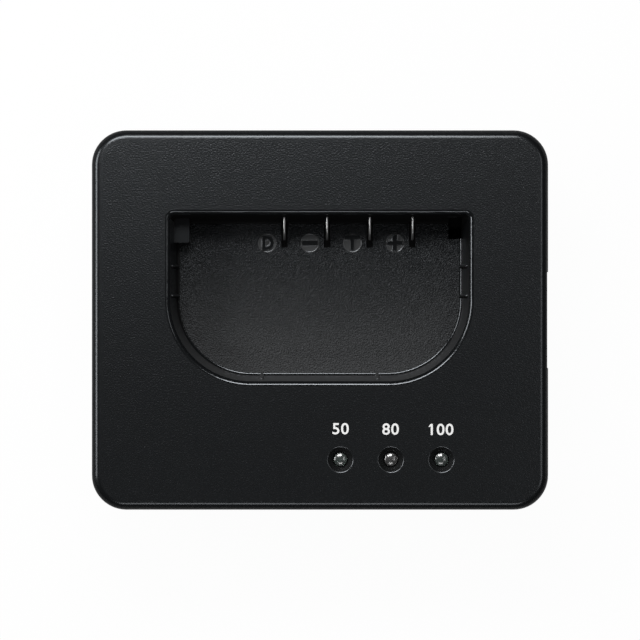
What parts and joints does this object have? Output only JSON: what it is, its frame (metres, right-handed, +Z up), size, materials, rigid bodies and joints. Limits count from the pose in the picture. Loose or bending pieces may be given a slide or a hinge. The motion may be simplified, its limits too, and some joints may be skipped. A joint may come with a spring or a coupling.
{
  "type": "camera battery charger",
  "caption": "Flat black table-top charger with a D-shaped drop-in bay for a camera battery, flat blade contacts, charge level lamps and a figure-eight mains inlet on its side.",
  "frame": {"origin": "on the table, under the middle of the case", "axes": "+Z up, +X towards the side with the mains inlet, +Y towards the bay's contact wall"},
  "size_m": [0.095, 0.079, 0.03],
  "materials": {
    "case_black": "fine spark grain, satin",
    "inlet_black": "smooth satin",
    "foot_rubber": "matt",
    "contact_metal": "nickel plated, satin",
    "pin_metal": "plated, bright",
    "screw_steel": "zinc plated, satin",
    "lamp_clear": "clear moulded resin",
    "lamp_frame": "silver plated",
    "carrier_black": "moulded, plain",
    "holder_white": "moulded, plain",
    "board_green": "lacquered glass-fibre board",
    "fuse_brown": "moulded, plain",
    "film_yellow": "moulded, plain",
    "ferrite": "ground, matt",
    "copper_wire": "lacquered copper",
    "winding_tape": "tape",
    "can_sleeve": "shrink sleeve",
    "disc_blue": "dipped lacquer",
    "chip_black": "moulded, matt",
    "ceramic_tan": "fired ceramic"
  },
  "bodies": {
    "root": {"upper_case": "case_black", "lower_case": "case_black", "mains_inlet": "inlet_black", "foot_front_left": "foot_rubber", "foot_front_right": "foot_rubber", "foot_rear_left": "foot_rubber", "foot_rear_right": "foot_rubber", "contact_data": "contact_metal", "contact_minus": "contact_metal", "contact_temperature": "contact_metal", "contact_plus": "contact_metal", "inlet_pin_live": "pin_metal", "inlet_pin_neutral": "pin_metal", "case_screws": "screw_steel", "board_screws": "screw_steel", "led_lens_50": "lamp_clear", "led_lens_80": "lamp_clear", "led_lens_100": "lamp_clear", "led_lead_frames": "lamp_frame", "led_holder": "holder_white", "contact_carrier": "carrier_black", "circuit_board": "board_green", "fuse": "fuse_brown", "x_capacitor": "film_yellow", "choke_core": "ferrite", "choke_windings": "copper_wire", "bridge_rectifier": "chip_black", "bulk_capacitor": "can_sleeve", "switching_chip": "chip_black", "y_capacitor": "disc_blue", "optocoupler": "chip_black", "transformer_core": "ferrite", "transformer_bobbin": "carrier_black", "transformer_winding": "winding_tape", "output_inductor": "ferrite", "output_diode": "chip_black", "output_capacitors": "can_sleeve", "charge_chip": "chip_black", "chip_resistors": "chip_black", "chip_capacitors": "ceramic_tan"}
  },
  "joints": []
}
